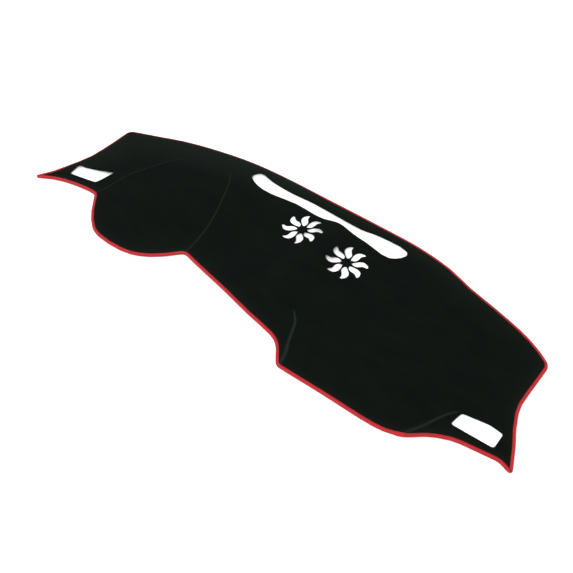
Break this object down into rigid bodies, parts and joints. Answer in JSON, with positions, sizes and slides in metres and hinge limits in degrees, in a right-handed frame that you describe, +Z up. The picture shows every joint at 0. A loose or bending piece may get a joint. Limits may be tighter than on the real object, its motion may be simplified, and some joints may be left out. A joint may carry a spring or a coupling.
{
  "type": "dashboard cover mat",
  "caption": "Black pile cloth mat that covers a car dashboard, cut to its outline with vent, defroster and speaker openings, with sewn darts and a red tape binding",
  "frame": {"origin": "centre of the mat's outline on the surface that it lies on", "axes": "X along the dashboard, +Y towards the windshield, +Z up"},
  "size_m": [1.4676, 0.5118, 0.026],
  "materials": {
    "black_pile_cloth": "matte short pile",
    "red_tape": "matte woven tape"
  },
  "bodies": {
    "root": {"mat_panel": "black_pile_cloth", "edge_binding": "red_tape"}
  },
  "joints": []
}
